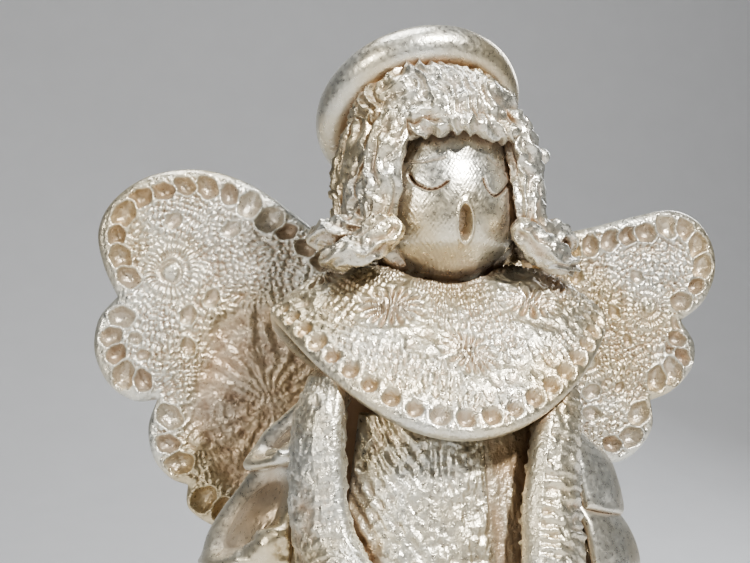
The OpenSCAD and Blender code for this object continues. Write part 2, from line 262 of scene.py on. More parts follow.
def sheet_piece(name, middle, thick, relief, hollow, edge, loop_u=False):
    """A slab round the middle surface, with its edges rounded over and relief on its outer side."""
    normal = grid_normals(middle, loop_u)
    d = edge_distance(middle, loop_u)
    body = thick / 2 * rounded(d, edge)
    inside = smooth(d / (edge * 1.2))
    front = middle + normal * (body + relief * inside)[..., None]
    back = middle - normal * body[..., None]
    ids = np.arange(d.size).reshape(d.shape)
    rim = np.zeros(d.shape, bool)
    rim[:, 0] = rim[:, -1] = True
    if not loop_u:
        rim[0] = rim[-1] = True
    hidden = (~rim).sum()
    behind = ids.copy()
    behind[~rim] = d.size + np.arange(hidden)
    points = np.concatenate([front.reshape(-1, 3), back[~rim]])
    depth = np.concatenate([(hollow * inside).ravel(), np.zeros(hidden)])
    faces = [grid_faces(ids, loop_u), grid_faces(behind, loop_u)[:, ::-1]]
    return make_piece(name, points, faces, depth)


def merged(name, parts):
    """One object of closed forms: each grid[i, j] goes round with i and is capped at both ends of j."""
    points, faces, depth, start = [], [], [], 0
    for grid, hollow in parts:
        nu, nv = grid.shape[:2]
        ids = start + np.arange(nu * nv).reshape(nu, nv)
        ends = start + nu * nv
        first, last = ids[:, 0], ids[:, -1]
        points += [grid.reshape(-1, 3), grid[:, 0].mean(0)[None], grid[:, -1].mean(0)[None]]
        depth += [hollow.ravel(), [hollow[:, 0].mean(), hollow[:, -1].mean()]]
        faces += [grid_faces(ids, True),
                  np.stack([np.roll(first, -1), first, np.full(nu, ends)], -1),
                  np.stack([last, np.roll(last, -1), np.full(nu, ends + 1)], -1)]
        start = ends + 2
    return make_piece(name, np.concatenate(points), faces, np.concatenate(depth))


def closed_piece(name, grid, hollow=None):
    """A single closed form, with no painted shade unless it is given."""
    return merged(name, [(grid, np.zeros(grid.shape[:2]) if hollow is None else hollow)])


# ---------------- lace relief


def lace_hollow(height):
    """How much painted shade pressed lace gets at each height: tan in the grooves between the threads."""
    return np.clip(-height * 1.5, 0, 1) * 0.68


def bowl(r, radius, depth):
    """A smooth round hollow with a thin raised rim, as height and as hollowness."""
    inside = np.clip(1 - (r / radius) ** 2, 0, 1)
    rim = np.exp(-(((r - radius * 1.06) / (0.15 * radius)) ** 2))
    return -depth * inside**0.95 + 0.24 * depth * rim, inside


def press_bowl(height, hollow, r, radius, depth, lip, lift, tan):
    """Presses one bowl into a relief in place, with painted shade inside it as strong as tan; r is each
    place's distance from its middle.
    """
    near = r < radius * 1.5
    bed, inside = bowl(r[near], radius, depth)
    cover = smooth((radius * (1 + lip) - r[near]) / (radius * lip))
    height[near] = mix(height[near], bed + lift, cover)
    hollow[near] = mix(hollow[near], tan * inside, cover)


def rosette(x, y, radius, petals, seed):
    """A flower worked in rounds: a ball, a ring, then rounds of stitches that grow outwards."""
    r = np.hypot(x, y)
    a = np.arctan2(y, x)
    r = r * (1 + 0.05 * np.sin(3 * a + seed))
    ball = 0.55 * smooth((2.3 - r) / 0.8)
    ditch = -0.55 * np.exp(-(((r - 2.9) / 0.5) ** 2))
    wave = np.cos(petals * a + 1.2 * np.sin(5 * a + seed) + 0.8 * np.sin(2.1 * r))
    spokes = 0.38 * (np.abs(wave) ** 0.7 * np.sign(wave)) * smooth((r - 2.6) / 1.2)
    rounds = 0.3 * np.cos(2 * math.pi * (r - 3.4) / 2.9 + 0.7 * np.sin(3 * a))
    fade = smooth((radius - r) / (0.3 * radius))
    return ball + ditch + (spokes + rounds * smooth((r - 3) / 1)) * fade, fade


def net(x, y, seed, pitch=1.45):
    """Pressed mesh: small bumps parted by thread grooves, pulled out of true."""
    place = np.stack([x, y], -1)
    x = x + 0.9 * noise(place, 7.0, seed) + 0.35 * noise(place, 2.5, seed + 1)
    y = y + 0.9 * noise(place, 7.0, seed + 3) + 0.35 * noise(place, 2.5, seed + 4)
    return 0.8 * stitches(x / pitch, y / pitch, seed + 5) + 0.12 * noise(place, 0.7, seed + 6)


# ---------------- wings

# Where the wings' front faces start beside the middle, their thickness and the rounding of their edges
ROOT_X, ROOT_Y = 4.0, 31.0
WING_T, WING_EDGE = 5.0, 1.9
# Each lobe runs from one notch to the next, as distance out along the wing and height. A flower has
# its middle, radius and count of petals, and an eyelet its middle.
# Each wing also has a share of painted shade, tan, on its part towards the body.
WINGS = {
    "wing_left": {
        "side": -1, "sweep": 12.0, "reach": 1.025, "rise": 0.9, "root_shade": 0.25, "row": 1.75, "stitch": 1.5,
        "fan": ((33.0, 140.0), (24.0, 32.0)),
        "lobes": [
            [(0, 168), (12, 178), (27, 191.1), (40.4, 200.4), (54.1, 204.3), (67.6, 202.2), (77.3, 195.0),
             (81.0, 186.5), (79.3, 177.0), (75.4, 168.6)],
            [(75.4, 168.6), (80.3, 162.6), (81.2, 153.6), (77.1, 145), (70.4, 140.6), (64.2, 140.9)],
            [(64.2, 140.9), (66.4, 133.3), (64.9, 125), (60.6, 119.6), (55.8, 117.6)],
            [(55.8, 117.6), (55.6, 111.5), (49.5, 106.8), (41, 104.5), (34, 106)],
            [(34, 106), (20, 104), (6, 106), (0, 110)],
        ],
        "flowers": [(60.8, 175.2, 9.5, 30), (52.4, 130.0, 6.5, 24), (36.0, 148.0, 11.0, 30),
                    (30.0, 120.0, 8.0, 26)],
        "eyelets": [(60.2, 189.5), (55.7, 163.4), (55.6, 154.9), (47.6, 151.4), (69.8, 157.3), (67.7, 152.9),
                    (44.5, 187.0), (49.5, 168.0), (45.0, 137.5), (47.0, 160.0)],
    },
    "wing_right": {
        "side": 1, "sweep": 7.0, "reach": 1.0, "rise": 0.0, "root_shade": 0.5, "row": 1.7, "stitch": 2.3,
        "lobes": [
            [(0, 166), (18, 176), (39.9, 187.3), (54.1, 191.4), (67.4, 195.0), (79.0, 197.2), (87.5, 194.4),
             (92.6, 187.3), (93.2, 178.5), (89.0, 169.8), (81.5, 164.2)],
            [(81.5, 164.2), (85.6, 157.3), (84.3, 149.7), (77.6, 143.4), (70.5, 140.6)],
            [(70.5, 140.6), (70.9, 133.0), (66.2, 126.2), (59.7, 122.8), (52.6, 123.6)],
            [(52.6, 123.6), (52.2, 115.0), (45.0, 108.0), (37.0, 106.5), (32.0, 108)],
            [(32, 108), (18, 104), (6, 106), (0, 110)],
        ],
        "flowers": [(70.1, 168.0, 8.5, 26), (50.0, 152.0, 8.0, 26), (30.0, 130.0, 8.0, 24)],
        "eyelets": [(66.4, 176.8), (62.7, 158.0), (76.8, 156.4), (59.8, 144.4), (50.9, 143.2), (50.8, 137.0),
                    (79.5, 163.0), (58.5, 166.0), (44.0, 165.0), (47.0, 176.0)],
    },
}


def wing_outline(lobes, pitch):
    """Points round the wing, with a sharp corner kept at every notch."""
    points = []
    for lobe in lobes:
        corners = np.array(lobe, float)
        length = np.linalg.norm(np.diff(corners, axis=0), axis=1).sum()
        count = max(4, int(length / pitch))
        points.append(spline(corners, np.arange(count) / count))
    last = np.array(lobes[-1][-1], float)
    first = np.array(lobes[0][0], float)
    count = int(np.linalg.norm(first - last) / pitch)
    points.append(last + (first - last) * (np.arange(count) / count)[:, None])
    return np.concatenate(points)


def inside_distance(outline, points):
    """Distance to the outline, positive inside it."""
    best = np.full(len(points), 1e12)
    inside = np.zeros(len(points), bool)
    for p, q in zip(outline, np.roll(outline, -1, 0)):
        step = q - p
        t = np.clip((points - p) @ step / max(step @ step, 1e-12), 0, 1)
        away = points - (p + t[:, None] * step)
        best = np.minimum(best, (away**2).sum(1))
        spans = (p[1] > points[:, 1]) != (q[1] > points[:, 1])
        rise = q[1] - p[1]
        crossing = p[0] + step[0] * (points[:, 1] - p[1]) / (rise if abs(rise) > 1e-12 else 1e-12)
        inside ^= spans & (points[:, 0] < crossing)
    return np.sqrt(best) * np.where(inside, 1, -1)


def filled(outline, pitch, edge):
    """Points and triangles inside an outline: close rings near its edge, then an even field."""
    ahead = np.roll(outline, -1, 0) - np.roll(outline, 1, 0)
    inward = unit(np.stack([ahead[:, 1], -ahead[:, 0]], -1))
    low, high = outline.min(0), outline.max(0)
    rows = np.arange(low[1], high[1], pitch * 0.866)
    columns = np.arange(low[0], high[0], pitch)
    field = np.array([(x + (pitch / 2 if i % 2 else 0), y) for i, y in enumerate(rows) for x in columns])
    kept = []
    for degrees in (20, 40, 60, 80):
        depth = edge * (1 - math.cos(math.radians(degrees)))
        ring = outline + inward * depth
        kept.append(ring[inside_distance(outline, ring) > 0.93 * depth])
    field = field[inside_distance(outline, field) > edge + 0.3 * pitch]
    points = np.concatenate([outline] + kept + [field])
    count = len(outline)
    edges = [(i, (i + 1) % count) for i in range(count)]
    done = delaunay_2d_cdt([Vector(p) for p in points], edges, [], 1, 1e-7)
    return np.array([tuple(v) for v in done[0]]), np.array(done[2]), count


def border_bowls(lobes, inset, spacing):
    """Where the row of hollows along the scalloped edge goes."""
    places = []
    for lobe in lobes[:-1]:
        corners = np.array(lobe, float)
        fine = spline(corners, np.linspace(0, 1, 200))
        ahead = np.gradient(fine, axis=0)
        inner = fine + unit(np.stack([ahead[:, 1], -ahead[:, 0]], -1)) * inset
        run = run_along(inner)
        count = max(2, int(round(run[-1] / spacing)))
        for k in range(count):
            s = (k + 0.5) / count * run[-1]
            stray = 1.1 * (hashed(np.array([[k, len(places)], [len(places), k]]), 6) - 0.5)
            places.append(stray + [np.interp(s, run, inner[:, i]) for i in (0, 1)])
    return np.array(places)


def wing_relief(points, d, wing, seed):
    """Height of the pressed lace over a wing and how much painted shade each place gets."""
    x, y = points.T
    height = np.zeros(len(points))
    hollow = np.zeros(len(points))
    flowers = wing["flowers"]
    reach = np.stack([np.hypot(x - f[0], y - f[1]) / f[2] for f in flowers])
    nearest = reach.argmin(0)
    # Stitches run in rounds about the nearest flower, loosely.
    pull = np.stack([noise(points, 8.0, seed + 1), noise(points, 8.0, seed + 2)], -1)
    for k, (fx, fy, _, _) in enumerate(flowers):
        mine = nearest == k
        px, py = x[mine] - fx + 1.3 * pull[mine, 0], y[mine] - fy + 1.3 * pull[mine, 1]
        r = np.hypot(px, py)
        row = r / wing["row"]
        around = np.arctan2(py, px) * np.maximum(np.floor(row) + 0.5, 1) * wing["row"] / wing["stitch"]
        height[mine] += stitches(row, around, seed + 7 * k, 0.6)
    broken = smooth(0.5 + 1.3 * noise(points, 9.0, seed + 9))
    height = mix(height, 0.9 * stitches(x / 1.9 + pull[:, 0], y / 1.6 + pull[:, 1], seed + 12, 0.9), broken)
    height = 1.25 * height + 0.2 * noise(points, 0.8, seed + 40) + 0.7 * noise(points, 6.0, seed + 41)
    for k, (fx, fy, radius, petals) in enumerate(flowers):
        lift, part = rosette(x - fx, y - fy, radius, petals, seed + k)
        grain = 0.18 * noise(points, 0.7, seed + 50 + k)
        height = mix(height, lift + grain, part)
    # Painted shade, tan, in the grooves between the stitches.
    hollow += np.clip(-height * 1.3, 0, 1) * 0.66
    # Painted shade, tan, on the part of the wing towards the body.
    root_shade = wing["root_shade"] * smooth((62 - x) / 26) * smooth(0.8 + noise(points, 12.0, seed + 13))
    hollow = np.maximum(hollow, root_shade)

    def press(places, radius, depth, vary, tan):
        for i, (bx, by) in enumerate(places):
            size = radius * (1 + vary * (hashed(np.array([i, seed]), 3) - 0.5))
            turn = np.arctan2(y - by, x - bx)
            r = np.hypot(x - bx, y - by) * (1 + 0.13 * np.sin(2 * turn + i) + 0.05 * np.sin(5 * turn + 2 * i))
            press_bowl(height, hollow, r, size, depth, 0.25, 0.1, tan)

    # Eyelets and the bowls by the edge get painted shade inside them.
    press(wing["eyelets"], 2.2, 1.4, 0.5, 0.6)
    rim = smooth((d - 1.9) / 1.0)
    height *= rim
    hollow *= rim
    press(border_bowls(wing["lobes"], 5.3, 6.3), 3.3, 2.7, 0.4, 0.15)
    if "fan" in wing:
        height, hollow = fan(points, wing["fan"], height, hollow, seed)
    height += 0.05 * noise(points, 1.1, seed + 60)
    return height, hollow


def fan(points, shape, height, hollow, seed):
    """A sunk part of the wing with ridges that spread from one corner, browned with painted shade."""
    (cx, cy), (reach_x, reach_y) = shape
    x, y = points[:, 0] - cx, points[:, 1] - cy
    r = np.hypot(x / reach_x, y / reach_y) + 0.07 * noise(points, 8.0, seed + 80)
    cover = smooth((1 - r) / 0.22)
    turn = np.arctan2(y, x)
    ribs = 0.42 * np.cos(21 * turn + 3.2 * noise(points, 8.0, seed + 81)) * smooth(r / 0.5)
    grain = 0.5 * crumple(np.column_stack([points, np.zeros(len(points))]), 3.0, seed + 82)
    # Painted shade over the sunk part, patchy with the grain.
    brown = cover * (0.72 - 0.2 * grain)
    return mix(height, ribs + 0.55 * grain, cover * 0.75) - 1.7 * cover, np.maximum(hollow, brown)


def wing_world(points, lift, wing):
    """From the wing's own plane to the frame; lift is towards the front."""
    turn = math.radians(wing["sweep"])
    side = wing["side"]
    out = np.array([side * math.cos(turn), math.sin(turn), 0.0])
    front = np.array([side * math.sin(turn), -math.cos(turn), 0.0])
    root = np.array([side * ROOT_X, ROOT_Y, 0.0])
    middle = root - front * WING_T / 2
    bow = 0.9 * noise(points, 26.0, 5) + 1.2 * smooth((points[:, 0] - 40) / 50)
    rise = wing["rise"] * smooth((points[:, 1:] - 140) / 40)
    flat = middle + points[:, :1] * wing["reach"] * out + (points[:, 1:] + rise) * UP
    return flat + (lift + bow)[:, None] * front


def make_wing(name):
    wing = WINGS[name]
    seed = 11 if wing["side"] < 0 else 23
    outline = wing_outline(wing["lobes"], 0.45)
    sides = []
    for pitch, front in ((0.43, True), (1.1, False)):
        points, faces, count = filled(outline, pitch, WING_EDGE)
        d = np.maximum(inside_distance(outline, points), 0)
        d[:count] = 0
        body = WING_T / 2 * rounded(d, WING_EDGE)
        if front:
            height, hollow = wing_relief(points, d, wing, seed)
            lift = body + height * smooth(d / 1.2)
        else:
            hollow = np.zeros(len(points))
            lift = -body + 0.15 * noise(points, 3.0, seed + 70) * smooth(d / 2)
        sides.append((wing_world(points, lift, wing), faces, hollow))
    (front, front_faces, hollow), (back, back_faces, _) = sides
    behind = np.concatenate([np.arange(count), len(front) + np.arange(len(back) - count)])
    points = np.concatenate([front, back[count:]])
    flip = wing["side"] < 0
    front_faces = front_faces[:, ::-1] if flip else front_faces
    back_faces = behind[back_faces]
    back_faces = back_faces if flip else back_faces[:, ::-1]
    hollow = np.concatenate([hollow, np.zeros(len(back) - count)])
    return make_piece(name + "_lace", points, [front_faces, back_faces], hollow)


# ---------------- body shapes, as in the CAD

# The body's half width, half depth and middle at the floor, and how fast the first two shrink upwards
BODY_W, BODY_D, BODY_Y = 54.0, 44.0, -2.0
TAPER_W, TAPER_D = 0.19, 0.165
SLAB, GAP = 3.6, 0.3
HEM_TOP, HEM_PLEATS = 26.0, 26
PANEL_LOW = 15.0


def on_body(z, angle, off=0.0):
    """A point on the body at a height and an angle in degrees from the front, grown outward by off."""
    a = np.radians(angle)
    w = BODY_W - TAPER_W * z + off
    d = BODY_D - TAPER_D * z + off
    return np.stack(np.broadcast_arrays(w * np.sin(a), BODY_Y - d * np.cos(a), z), -1)


# ---------------- collar

COLLAR_W, COLLAR_T = 43.0, 4.2
# The arc from the neck to the edge, how far the row of dimples lies inside the edge, and its spacing
COLLAR_ARC, DIMPLE_INSET, DIMPLE_PITCH = 45.0, 3.5, 5.8
# Each flower's angle, place from the neck (0) to the edge (1), radius and count of petals
COLLAR_FLOWERS = [
    (1.0, 0.57, 7.2, 17), (-37.0, 0.45, 7.6, 16), (41.0, 0.50, 6.8, 15), (-83.0, 0.55, 7.0, 14),
    (83.0, 0.56, 7.0, 14), (-128.0, 0.52, 7.5, 14), (128.0, 0.52, 7.5, 14), (180.0, 0.52, 7.5, 14),
]


def collar_at(angle, v):
    """A point on the collar's upper face, from the neck at v 0 to the edge at v 1."""
    a = np.radians(angle)
    ahead = np.maximum(0, np.cos(a))
    behind = np.maximum(0, -np.cos(a))
    reach = np.where(np.cos(a) > 0, 40.0, 33.0)
    z_neck = 172.5 - 2.2 * ahead**2
    z_edge = 162 - 29 * np.maximum(0, np.cos(a + math.radians(4.5))) ** 2 - 19 * behind**1.6
    x = mix(12.5, COLLAR_W, v) * np.sin(a)
    y = -mix(11.0, reach, v) * np.cos(a)
    shoulder = 3.2 * np.sin(math.pi * v) * np.abs(np.sin(a))
    z = mix(z_neck, z_edge, v ** mix(1.8, 1.25, np.maximum(ahead, behind))) + shoulder
    return np.stack([x, y, z], -1)


def daisy(x, y, radius, petals, seed):
    """A pressed flower: leaf-shaped petals, each a smooth hollow with raised edges."""
    r = np.hypot(x, y) * (1 + 0.06 * np.sin(2 * np.arctan2(y, x) + seed))
    a = np.arctan2(y, x) * petals / (2 * math.pi) + 0.25 * np.sin(2 * np.arctan2(y, x) + seed)
    which = np.floor(a)
    across = np.abs(2 * (a - which) - 1)
    size = 0.75 + 0.25 * hashed(np.stack([which, which * 0 + seed], -1).astype(np.int64), 5)
    t = np.clip(r / (radius * size), 0, 1)
    petal = -2.0 * np.exp(-((across / 0.45) ** 2)) + 0.8 * np.exp(-(((across - 1) / 0.3) ** 2))
    cover = smooth((radius * 1.02 - r) / 0.8)
    return (petal * smooth(r / 0.9) * (1 - t**4) - 0.3 * smooth(1 - r / 1.2)) * cover, cover


def make_collar():
    """The shoulder collar: loose lace, flowers pressed into it and a row of dimples by the edge."""
    angle = 180 - np.linspace(0, 360, 470, endpoint=False)
    v = spaced(COLLAR_ARC, 0.55, COLLAR_T / 2)
    a, t = table(angle, v)
    top = collar_at(a, t)
    normal = -grid_normals(top, True)
    if normal[..., 2].mean() < 0:
        normal = -normal
    middle = top - normal * COLLAR_T / 2
    arc = np.cumsum(np.linalg.norm(np.diff(top, axis=1, prepend=top[:, :1]), axis=-1), 1)
    left = arc[:, -1:] - arc
    around = np.radians(a) * 33.0
    place = np.stack([around, arc], -1)
    height = 1.25 * net(around, arc, 31, 1.6)
    height += 0.45 * noise(top, 8.0, 32) + 0.3 * crumple(top, 2.4, 33)
    patches = smooth(0.65 + 1.6 * noise(place, 11.0, 38))
    height = mix(0.45 * crumple(top, 3.0, 36), height, patches)
    # Painted shade, tan, in the grooves of the lace.
    hollow = lace_hollow(height)
    for k, (fa, fv, radius, petals) in enumerate(COLLAR_FLOWERS):
        centre = collar_at(np.array(fa), np.array(fv))
        east = unit(collar_at(np.array(fa + 1.0), np.array(fv)) - centre)
        north = unit(collar_at(np.array(fa), np.array(fv + 0.01)) - centre)
        away = top - centre
        x, y = away @ east, away @ north
        y = y / 1.12
        near = np.hypot(x, y) < radius * 1.6
        lift, cover = daisy(x, y, radius, petals, 60 + k)
        lift = lift + 0.14 * noise(top, 0.7, 70 + k)
        cover = cover * near
        height = mix(height, lift, cover)
        # Painted shade, tan, in the hollows of the petals.
        hollow = mix(hollow, np.clip(-lift * 0.6, 0, 1) * 0.85, cover)
    rim = smooth((left - 1.2) / 0.9) * smooth((arc - 1.0) / 2.0)
    height *= rim
    hollow *= rim
    edge_line = collar_at(angle, np.full(len(angle), 1 - DIMPLE_INSET / COLLAR_ARC))
    run = run_along(edge_line)
    count = int(round((run[-1] + np.linalg.norm(edge_line[0] - edge_line[-1])) / DIMPLE_PITCH))
    for k in range(count):
        s = (k + 0.5) * (run[-1] + 0.4) / count
        centre = np.array([np.interp(s, run, edge_line[:, i]) for i in range(3)])
        r = np.linalg.norm(top - centre, axis=-1)
        size = 2.35 * (1 + 0.3 * (hashed(np.array([k, 4]), 9) - 0.5))
        # Each dimple gets painted shade inside it.
        press_bowl(height, hollow, r, size, 2.3, 0.3, 0.12, 0.28)
    wave = 0.5 * noise(top, 16.0, 34)
    outward = grid_normals(middle, True)
    flip = (outward * normal).sum(-1).mean() < 0
    middle = middle + normal * wave[..., None]
    if flip:
        middle, height, hollow = middle[::-1], height[::-1], hollow[::-1]
    return sheet_piece("collar_lace", middle, COLLAR_T, height, hollow, COLLAR_T / 2, loop_u=True)


# ---------------- head and face

HEAD_AT = np.array([0.7, -1.5, 191.0])
HEAD_R, HEAD_H = 17.3, 21.5
HEAD_TURN = rotation("Z", 8) @ rotation("X", -8)


def groove(x, z, path, width):
    """How far into a pressed line each place is, from 0 beside it to 1 on it."""
    line = spline(np.array(path, float), np.linspace(0, 1, 60))
    d = np.full(x.shape, 1e9)
    for p, q in zip(line[:-1], line[1:]):
        step = q - p
        t = np.clip(((x - p[0]) * step[0] + (z - p[1]) * step[1]) / (step @ step), 0, 1)
        d = np.minimum(d, np.hypot(x - p[0] - t * step[0], z - p[1] - t * step[1]))
    return smooth(1 - d / width)


EYE_LINES = [
    [(-12.3, 1.8), (-11.3, -0.6), (-8.9, -2.3), (-6.7, -1.9), (-5.1, -0.7)],
    [(3.2, 0.3), (4.0, -1.9), (6.1, -3.4), (8.5, -2.1), (11.5, 1.1)],
]
BROW_LINES = [
    [(-14.6, 6.4), (-12.5, 5.2), (-9.9, 4.5), (-7.4, 4.7), (-5.1, 5.1)],
    [(4.9, 5.6), (6.9, 4.5), (10.4, 3.6)],
]
EYE_WIDTH, BROW_WIDTH = 0.5, 0.45
# The mouth's middle across and up the face, half its width and half its height
MOUTH = (-1.2, -9.9, 1.45, 3.7)


def make_head():
    """The head with its face pressed in; the mesh is finer over the face than behind."""
    fine = np.linspace(-62, 68, 215)
    coarse = np.linspace(68, 298, 62)[1:-1]
    azimuth = np.radians(np.concatenate([fine, coarse]))
    polar = np.radians(np.linspace(-88, 88, 195))
    a, e = table(azimuth, polar)
    r = HEAD_R * np.where(e < 0, np.cos(e) ** 0.85, np.cos(e)) * (1 - 0.05 * np.sin(e))
    local = np.stack([r * np.sin(a), -r * np.cos(a), HEAD_H * np.sin(e)], -1)
    x, z = local[..., 0], local[..., 2]
    front = smooth((np.cos(a) - 0.1) / 0.3)
    warp = np.sin(2 * math.pi * (x + 0.35 * noise(local, 5, 2)) / 0.85)
    weave = warp * np.sin(2 * math.pi * (z + 0.35 * noise(local, 5, 3)) / 1.3)
    height = (0.045 * weave + 0.025 * noise(local, 0.6, 4)) * front + 0.35 * noise(local, 12.0, 5)
    # The face is a slab laid over the head: it stands proud, and its cut edge shows by the right temple, tan
    # with painted shade.
    slab = smooth((np.cos(a) - np.where(x < 0, 0.12, 0.35)) / 0.3)
    brow = (2.6 - 1.1 * (x < 0) * smooth(-x / 6)) * smooth((z - 3) / 10)
    height = height + (1.9 * smooth((z + 19) / 6) + brow) * slab
    jaw = 13.6 + 0.5 * noise(local, 8.0, 6) - 0.005 * (z - 2) ** 2 * (z < 2)
    cut = smooth((x - jaw) / 0.7) * (np.cos(a) > -0.2)
    height = height * (1 - cut) - 2.0 * cut
    hollow = 0.9 * cut
    # Painted shade in the eye and brow lines and the mouth, dark brown in the eye lines and the mouth.
    for path in EYE_LINES:
        g = groove(x, z, path, EYE_WIDTH) * front
        height -= 1.1 * g
        hollow = np.maximum(hollow, smooth(g * 1.6))
    for path in BROW_LINES:
        g = groove(x, z, path, BROW_WIDTH) * front
        height -= 0.4 * g
        hollow = np.maximum(hollow, 0.5 * g)
    mx, mz = (x - MOUTH[0]) / MOUTH[2], (z - MOUTH[1]) / MOUTH[3]
    m = np.hypot(mx + 0.16 * mz, mz)
    height += (0.45 * np.exp(-(((m - 1.22) / 0.2) ** 2)) - 4.2 * smooth((1.08 - m) / 0.22)) * front
    hollow = np.maximum(hollow, smooth((1.05 - m) / 0.3) * front)
    normal = unit(local * np.array([1 / HEAD_R**2, 1 / HEAD_R**2, 1 / HEAD_H**2]))
    world = (local + normal * height[..., None]) @ HEAD_TURN.T + HEAD_AT
    return closed_piece("head_face", world, hollow)


# ---------------- halo

# The halo's middle, the radius of its ring and the radius of its roll
HALO_AT = np.array([-3.0, 8.0, 215.4])
HALO_R, HALO_ROLL = 21.3, 5.8
HALO_TURN = rotation("Y", -8) @ rotation("X", -35.7)


def make_halo():
    around = circle(320)
    across = circle(72)
    b, a = table(across, around)
    ring = np.stack([np.cos(a), np.sin(a), np.zeros_like(a)], -1)
    local = ring * HALO_R
    roll = HALO_ROLL * (1 + 0.02 * noise(local + 40, 9.0, 3))
    # The roll's lower inner side is pressed a little flat, with a soft crease beside it.
    flat = np.exp(-(((np.cos(b - math.radians(235)) - 1) / 0.25) ** 2))
    roll = roll * (1 - 0.06 * flat)
    weave = np.sin(a * HALO_R / 0.16 + 2 * noise(local, 5, 2)) * np.sin(b * 34)
    roll = roll + 0.015 * weave + 0.05 * noise(local + b[..., None], 2.5, 8)
    points = ring * (HALO_R + roll * np.cos(b))[..., None] + UP * (roll * np.sin(b))[..., None]
    world = points @ HALO_TURN.T + HALO_AT
    ids = np.arange(a.size).reshape(a.shape)
    ids = np.concatenate([ids, ids[:, :1]], 1)
    return make_piece("halo_ring", world, [grid_faces(ids, True)])


# ---------------- hair

CROWN_AT = np.array([-1.6, -2.6])
CROWN_R, CROWN_TOP = 21.0, 223.4
# How far the crown's lower edge curls under, in degrees, and how far inward in mm
CURL_UNDER, CURL_IN = 14, 5.5
CAP_T = 3.3


def round_head(angle, r, z):
    a = np.radians(angle)
    return np.stack(np.broadcast_arrays(HEAD_AT[0] + r * np.sin(a), HEAD_AT[1] - r * np.cos(a), z), -1)


def strand(phase):
    """Sharp ridges with broad valleys between them, one to each turn of the phase."""
    crest = 1 - np.abs(2 * (phase - np.floor(phase)) - 1)
    return crest**1.7 - 0.37


def make_crown():
    """The crumpled slab over the top of the head, its lower edge curled under."""
    angle = -circle(340)
    rise = np.radians(np.linspace(-CURL_UNDER, 88.5, 118))
    a, e = table(angle, rise)
    low = 209.5 - 2 * np.cos(a)
    r = CROWN_R * np.cos(np.maximum(e, 0)) ** 0.62
    r = np.where(e < 0, CROWN_R - CURL_IN * np.sin(-e) / math.sin(math.radians(CURL_UNDER)), r)
    z = mix(low, CROWN_TOP, np.sin(np.maximum(e, 0)))
    z = z + np.where(e < 0, 1.2 * np.sin(e * 180 / CURL_UNDER), 0)
    grid = np.stack([CROWN_AT[0] + r * np.sin(a), CROWN_AT[1] - r * np.cos(a), z], -1)
    normal = grid_normals(grid, True)
    centre = np.array([0.0, -2.0, 200.0])
    if ((grid - centre) * normal).sum(-1).mean() < 0:
        normal = -normal
    phase = 27 * a / (2 * math.pi) + 1.6 * noise(grid, 9.0, 90) + 0.5 * noise(grid, 3.5, 91) + 1.2 * e
    fold = strand(phase) + 0.5 * crumple(grid, 6.0, 92)
    lift = 1.5 * fold + 0.15 * noise(grid, 1.2, 93)
    lift *= smooth((e + 0.2) / 0.25)
    # Painted shade, tan, in the valleys of the folds.
    hollow = np.clip(-fold * 0.9, 0, 1)
    world = grid + normal * lift[..., None]
    return closed_piece("hair_crown_folds", world, hollow)


def from_head(points):
    """The way out from the head's upright axis, hardly rising or falling."""
    away = points - HEAD_AT
    away[..., 2] *= 0.3
    return away


def roll_out(line, across_w, thick, outward, sides, relief, seed):
    """A closed roll round a line, its relief given by a function of turn, length and place; painted shade,
    tan, goes where the relief sinks.
    """
    along = unit(np.gradient(line, axis=0))
    out = unit(outward(line))
    across = unit(np.cross(along, out))
    out = np.cross(across, along)
    b = circle(sides)
    w, h = across_w[None, :, None], thick[None, :, None]
    c, s = np.cos(b)[:, None, None], np.sin(b)[:, None, None]
    grid = line[None] + across[None] * w * c + out[None] * h * s
    normal = unit(across[None] * c / w + out[None] * s / h)
    length = run_along(line)
    turn, run = table(b, length)
    lift = relief(turn, run, grid, seed) * smooth(run / 2.5) * smooth((length[-1] - run) / 2.5)
    return grid + normal * lift[..., None], np.clip(-lift * 0.9, 0, 1)


def pleats(turn, run, grid, seed):
    """Long pinched pleats along a lock, with crumples across them."""
    phase = 7.0 * turn / (2 * math.pi) + 0.9 * noise(grid * np.array([1, 1, 0.6]), 7.0, seed + 1)
    phase = phase + 0.35 * noise(grid, 2.6, seed + 2)
    pinch = 0.75 + 0.6 * noise(grid, 5.0, seed + 3)
    return 1.9 * strand(phase) * pinch + 0.45 * crumple(grid * np.array([1, 1, 0.6]), 4.0, seed + 4)


def rumples(turn, run, grid, seed):
    """Pinched, folded clay."""
    phase = 5.0 * turn / (2 * math.pi) + run / 9.0 + 1.2 * noise(grid, 6.0, seed + 1)
    return 1.3 * strand(phase) + 0.7 * crumple(grid, 4.0, seed)


def curls(turn, run, grid, seed):
    """Small tight folds that slant across a roll."""
    phase = run / 4.2 + turn / 3.0 + 0.9 * noise(grid, 5.0, seed)
    return 1.3 * strand(phase) + 0.35 * crumple(grid, 2.6, seed + 1)


def lock(angle, corners, fat, relief, seed, sides, steps):
    """A hanging roll; each corner has its reach from the head's axis, its height and its own turn."""
    t = np.linspace(0, 1, steps)
    swell = 0.5 + 0.6 * np.sin(np.radians(20 + 150 * t))
    line = spline([round_head(angle + turn, reach, z) for reach, z, turn in corners], t)
    return roll_out(line, fat * 1.15 * swell, fat * 0.82 * swell, from_head, sides, relief, seed)


# Rolls that spread out over each shoulder: path on the right side, half width, up, folds and seed
SHOULDER_ROLLS = [
    ([(18.5, -14, 183), (25.5, -10.5, 181.5), (33.5, -5.5, 179.5)], 4.7, (0, 0, 1), rumples, 70),
    ([(14.5, -20.5, 183), (19.5, -19.5, 178.5), (25, -17.5, 175.5), (31, -12, 174)], 5.2, (0, -0.5, 1),
     pleats, 90),
]


